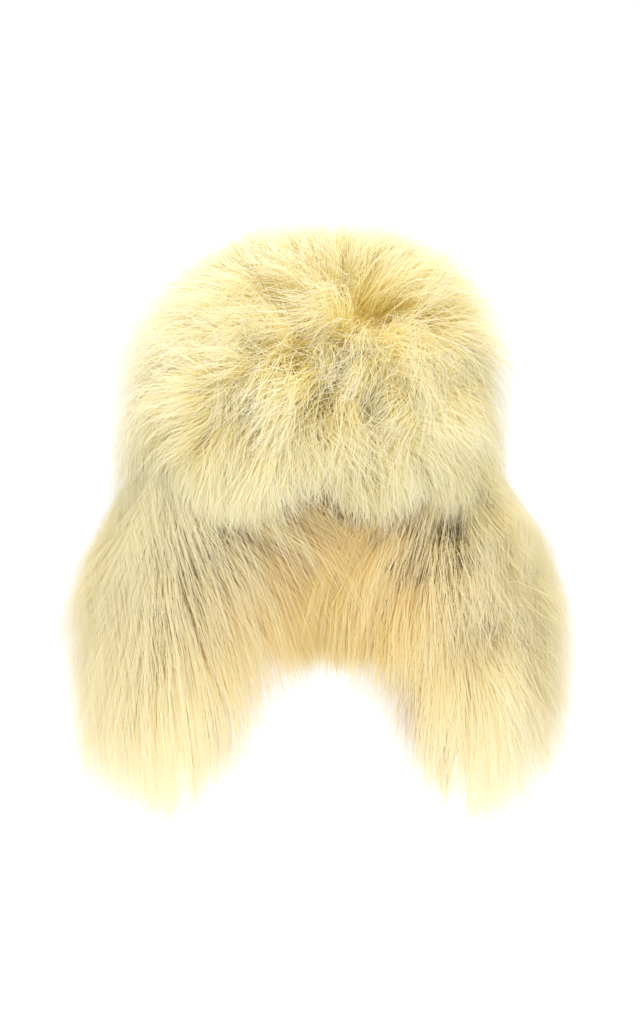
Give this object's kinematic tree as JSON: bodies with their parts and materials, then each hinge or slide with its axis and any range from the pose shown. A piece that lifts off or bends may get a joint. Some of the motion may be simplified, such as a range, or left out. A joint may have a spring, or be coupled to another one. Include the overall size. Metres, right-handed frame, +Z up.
{
  "type": "ushanka",
  "caption": "Shaggy fur ushanka with hanging ear flaps, a turned-up front flap and a neck flap.",
  "frame": {"origin": "the middle of the head opening, level with the brow seam", "axes": "+Z up to the top of the crown, -Y towards the face, +X to the right seen from in front"},
  "size_m": [0.3297, 0.3341, 0.3949],
  "materials": {
    "crown_cloth": "plain woven backing cloth, pale straw",
    "crown_pile": "long shaggy pile, pale butter yellow with near-white tips",
    "front_flap_cloth": "plain woven backing cloth, pale straw",
    "front_flap_pile": "long shaggy pile, pale butter yellow with near-white tips",
    "ear_flap_left_cloth": "plain woven backing cloth, pale straw",
    "ear_flap_left_pile": "long shaggy pile, pale butter yellow with near-white tips",
    "ear_flap_right_cloth": "plain woven backing cloth, pale straw",
    "ear_flap_right_pile": "long shaggy pile, pale butter yellow with near-white tips",
    "neck_flap_cloth": "plain woven backing cloth, pale straw",
    "neck_flap_pile": "long shaggy pile, pale butter yellow with near-white tips"
  },
  "bodies": {
    "root": {"crown": "crown_cloth", "crown_fur": "crown_pile", "front_flap": "front_flap_cloth", "front_flap_fur": "front_flap_pile", "ear_flap_left": "ear_flap_left_cloth", "ear_flap_left_fur": "ear_flap_left_pile", "ear_flap_right": "ear_flap_right_cloth", "ear_flap_right_fur": "ear_flap_right_pile", "neck_flap": "neck_flap_cloth", "neck_flap_fur": "neck_flap_pile"}
  },
  "joints": []
}
